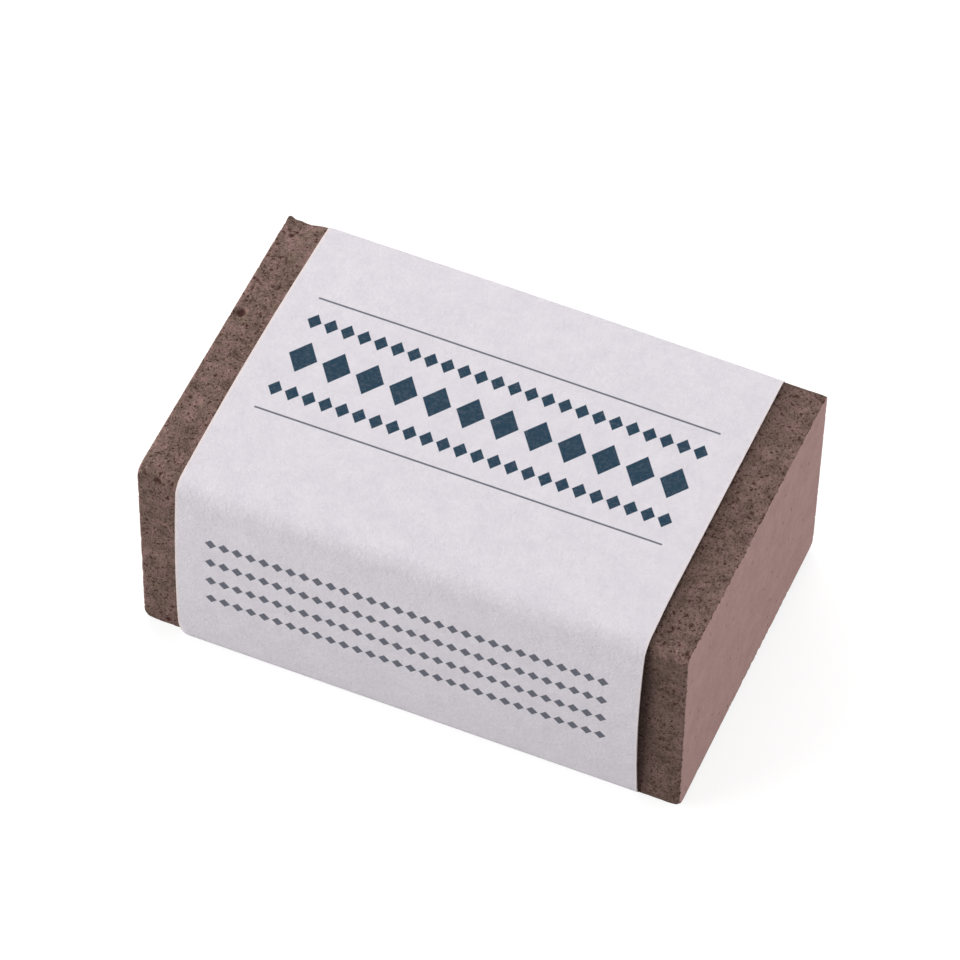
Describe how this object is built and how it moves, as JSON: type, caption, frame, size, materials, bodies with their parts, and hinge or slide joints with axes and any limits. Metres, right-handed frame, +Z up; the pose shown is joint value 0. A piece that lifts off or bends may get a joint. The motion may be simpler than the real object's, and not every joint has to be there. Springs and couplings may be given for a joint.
{
  "type": "suede eraser",
  "caption": "Hand-held block of abrasive rubber for cleaning suede, in a plain paper sleeve that slides along it and off either end.",
  "frame": {"origin": "on the supporting surface, below the middle of the block, on the flat underside of the sleeve", "axes": "+X along the block's length, which the sleeve slides along; -Y to the front, where the sleeve bows out; +Z up"},
  "size_m": [0.065, 0.0415, 0.0273],
  "materials": {
    "eraser_rubber": "matt, porous and gritty",
    "sleeve_paper": "uncoated, matt",
    "dried_glue": "satin film"
  },
  "bodies": {
    "block": {"eraser_block": "eraser_rubber"},
    "sleeve": {"paper_sleeve": "sleeve_paper", "seam_adhesive": "dried_glue"}
  },
  "joints": [
    {"name": "sleeve_slide", "type": "slide", "parent": "block", "child": "sleeve", "axis": [1, 0, 0], "range_m": [-0.062, 0.062]}
  ]
}
